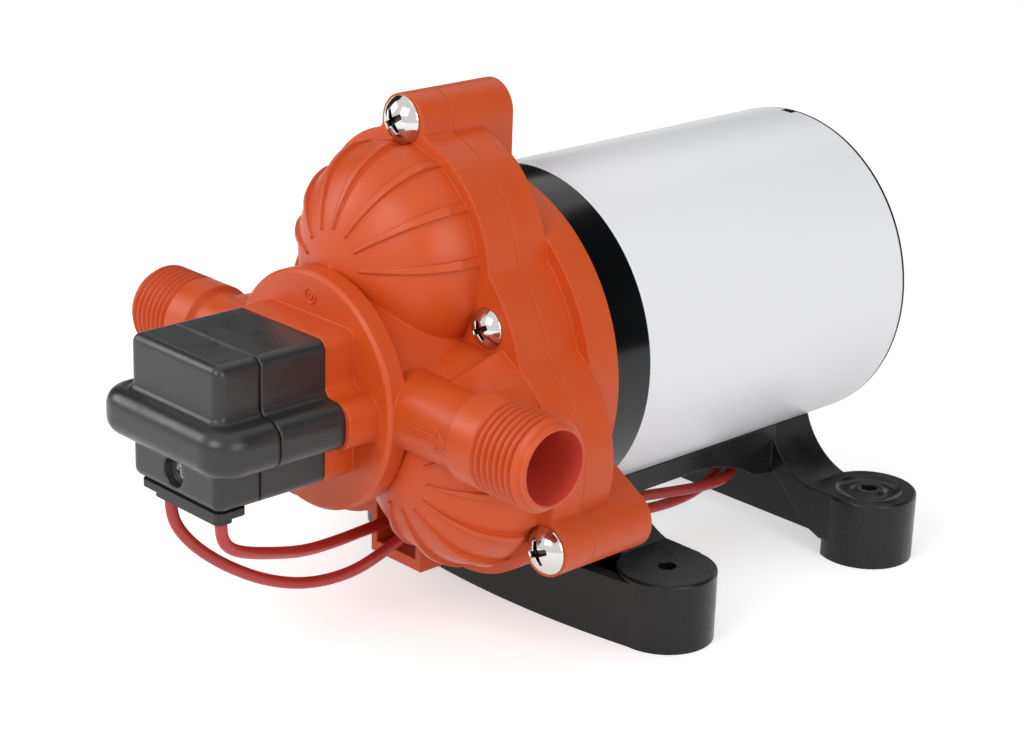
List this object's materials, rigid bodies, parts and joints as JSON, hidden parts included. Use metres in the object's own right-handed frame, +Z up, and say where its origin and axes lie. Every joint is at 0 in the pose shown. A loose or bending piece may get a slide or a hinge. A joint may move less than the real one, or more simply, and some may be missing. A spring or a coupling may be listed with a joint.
{
  "type": "diaphragm pump",
  "caption": "Diaphragm water pump: ribbed front housing with two threaded ports and a pressure switch, round motor behind, on a low foot frame.",
  "frame": {"origin": "centre of the four mounting holes, on the surface the feet stand on", "axes": "+Z up, +Y along the motor's axis towards the motor's rear, +X out of the outlet port"},
  "size_m": [0.1382, 0.2074, 0.13],
  "materials": {
    "orange_plastic": "satin",
    "grey_plastic": "matte",
    "black_plastic": "satin",
    "satin_black_plastic": "satin",
    "pale_plastic": "matte",
    "red_plastic": "gloss",
    "red_insulation": "satin",
    "black_rubber": "matte",
    "black_paint": "gloss",
    "white_paint": "gloss",
    "steel": "satin",
    "bright_steel": "bright",
    "brass": "satin",
    "copper": "satin",
    "magnet": "matte"
  },
  "bodies": {
    "pump_body": {"upper_housing": "orange_plastic", "valve_plate": "pale_plastic", "housing_seal": "black_rubber", "inlet_valves": "black_rubber", "outlet_valve": "black_rubber", "diaphragm": "black_rubber", "lower_housing": "orange_plastic", "outer_housing_screws": "bright_steel", "inner_housing_screws": "bright_steel", "motor_flange_screws": "steel", "front_bell": "black_paint", "motor_can": "white_paint", "rear_cap": "black_paint", "front_bearing": "steel", "rear_bearing": "steel", "magnets": "magnet", "brush_holder": "pale_plastic", "brushes": "magnet", "brush_springs": "steel", "through_bolts": "steel", "lead_grommet": "black_rubber", "base": "satin_black_plastic", "base_screws": "steel", "switch_body": "grey_plastic", "switch_cover": "grey_plastic", "switch_diaphragm": "black_rubber", "lever_pin": "steel", "micro_switch": "black_plastic", "adjusting_spring": "steel", "switch_screws": "steel", "terminals": "brass", "wire_boot": "black_rubber", "wire_a": "red_insulation", "wire_b": "red_insulation"},
    "rotor": {"motor_shaft": "steel", "armature_core": "steel", "armature_windings": "copper", "commutator": "copper", "cam": "brass", "cam_set_screw": "steel"},
    "wobble": {"wobble_plate": "pale_plastic", "wobble_bearing": "steel", "pistons": "pale_plastic", "piston_screws": "steel"},
    "plunger": {"switch_plunger": "pale_plastic"},
    "lever": {"switch_lever": "steel"},
    "button": {"switch_button": "red_plastic"},
    "adjuster": {"adjusting_screw": "bright_steel"}
  },
  "joints": [
    {"name": "motor_spin", "type": "hinge", "parent": "pump_body", "child": "rotor", "pos_m": [0, 0, 0.0656], "axis": [0, 1, 0], "continuous": true, "deforming": ["diaphragm"]},
    {"name": "wobble_turn", "type": "hinge", "parent": "rotor", "child": "wobble", "pos_m": [0, -0.0759, 0.0656], "axis": [0, 0.9986, 0.0523], "continuous": true},
    {"name": "plunger_press", "type": "slide", "parent": "pump_body", "child": "plunger", "axis": [0, -1, 0], "range_m": [0, 0.0008], "stiffness_N_per_m": 900, "deforming": ["adjusting_spring"]},
    {"name": "lever_swing", "type": "hinge", "parent": "pump_body", "child": "lever", "pos_m": [0, -0.12645, 0.078], "axis": [-1, 0, 0], "range_deg": [0, 4.5]},
    {"name": "button_press", "type": "slide", "parent": "pump_body", "child": "button", "axis": [0, -1, 0], "range_m": [0, 0.0009]},
    {"name": "adjuster_turn", "type": "hinge", "parent": "pump_body", "child": "adjuster", "pos_m": [0, -0.14, 0.0555], "axis": [0, 1, 0], "range_deg": [-180, 180]}
  ],
  "couplings": [
    {"joint": "wobble_turn", "follows": "motor_spin", "ratio": -1},
    {"joint": "lever_swing", "follows": "plunger_press", "rad_per_m": 90.909},
    {"joint": "button_press", "follows": "plunger_press", "ratio": 1.0909}
  ]
}
